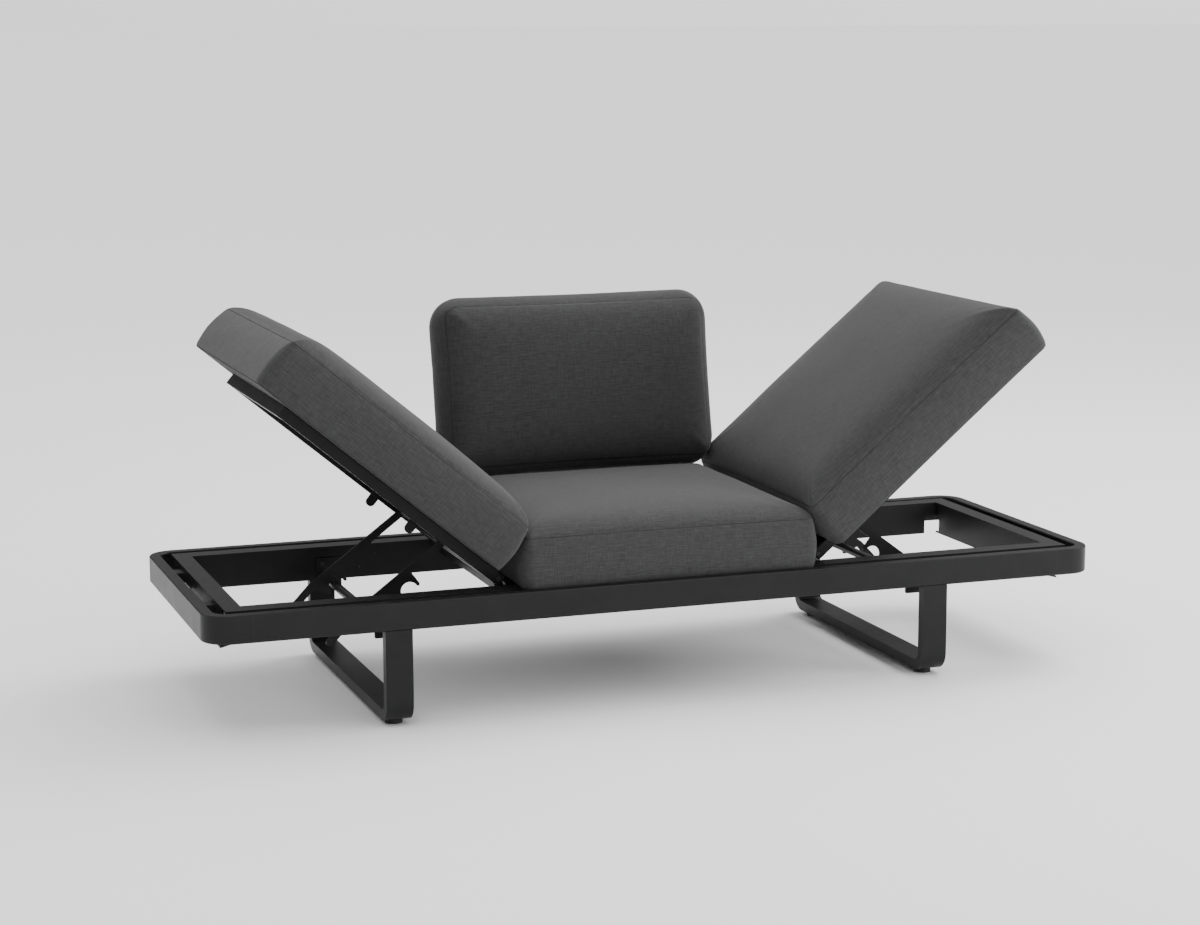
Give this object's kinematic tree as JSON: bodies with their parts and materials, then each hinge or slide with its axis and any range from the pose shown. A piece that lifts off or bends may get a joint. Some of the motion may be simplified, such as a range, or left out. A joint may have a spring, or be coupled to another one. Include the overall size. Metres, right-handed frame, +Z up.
{
  "type": "outdoor modular sofa",
  "caption": "Low outdoor sofa with metal sled legs, a centre seat and back cushion, and hinged side wings raised on notched props, each wing with its own thick cushion.",
  "frame": {"origin": "on the floor under the middle of the whole outline", "axes": "+Z up, +X along the sofa to its right as seen from the front, +Y towards its back"},
  "size_m": [2.2, 0.8122, 0.8864],
  "materials": {
    "frame": "fine matt powder coat",
    "fabric": "melange outdoor weave",
    "pad": "matt",
    "fastener": "brushed"
  },
  "bodies": {
    "base": {"rim_front": "frame", "rim_rear": "frame", "rim_end_left": "frame", "rim_end_right": "frame", "long_rail_front": "frame", "long_rail_rear": "frame", "end_rail_left": "frame", "end_rail_right": "frame", "frame_spacers": "frame", "sled_leg_left": "frame", "sled_leg_right": "frame", "leg_bolts": "fastener", "foot_pads": "pad", "seat_bearers": "frame", "seat_slats": "frame", "hinge_ears": "frame", "hinge_pins": "fastener", "back_posts": "frame", "back_rails": "frame", "back_bolts": "fastener", "crossbar_left": "frame", "crossbar_right": "frame", "crossbar_plates": "frame", "crossbar_screws": "fastener", "seat_cushion": "fabric", "back_cushion": "fabric"},
    "wing_left": {"wing_rails_left": "frame", "wing_crosses_left": "frame", "wing_slats_left": "frame", "wing_tabs_left": "frame", "prop_lugs_left": "frame", "wing_cushion_left": "fabric"},
    "wing_right": {"wing_rails_right": "frame", "wing_crosses_right": "frame", "wing_slats_right": "frame", "wing_tabs_right": "frame", "prop_lugs_right": "frame", "wing_cushion_right": "fabric"},
    "prop_left": {"prop_arm_left_front": "frame", "prop_arm_left_rear": "frame", "prop_shaft_left": "fastener"},
    "prop_right": {"prop_arm_right_front": "frame", "prop_arm_right_rear": "frame", "prop_shaft_right": "fastener"}
  },
  "joints": [
    {"name": "wing_left_hinge", "type": "hinge", "parent": "base", "child": "wing_left", "pos_m": [-0.4017, 0, 0.3033], "axis": [0, 1, 0], "range_deg": [-40, 0]},
    {"name": "wing_right_hinge", "type": "hinge", "parent": "base", "child": "wing_right", "pos_m": [0.4017, 0, 0.3033], "axis": [0, -1, 0], "range_deg": [-40, 0]},
    {"name": "prop_left_pivot", "type": "hinge", "parent": "wing_left", "child": "prop_left", "pos_m": [-0.50233, 0, 0.38251], "axis": [0, 1, 0], "range_deg": [0, 76.5]},
    {"name": "prop_right_pivot", "type": "hinge", "parent": "wing_right", "child": "prop_right", "pos_m": [0.50233, 0, 0.38251], "axis": [0, -1, 0], "range_deg": [0, 76.5]}
  ],
  "couplings": [
    {"joint": "prop_left_pivot", "follows": "wing_left_hinge", "ratio": -1.9125},
    {"joint": "prop_right_pivot", "follows": "wing_right_hinge", "ratio": -1.9125}
  ]
}
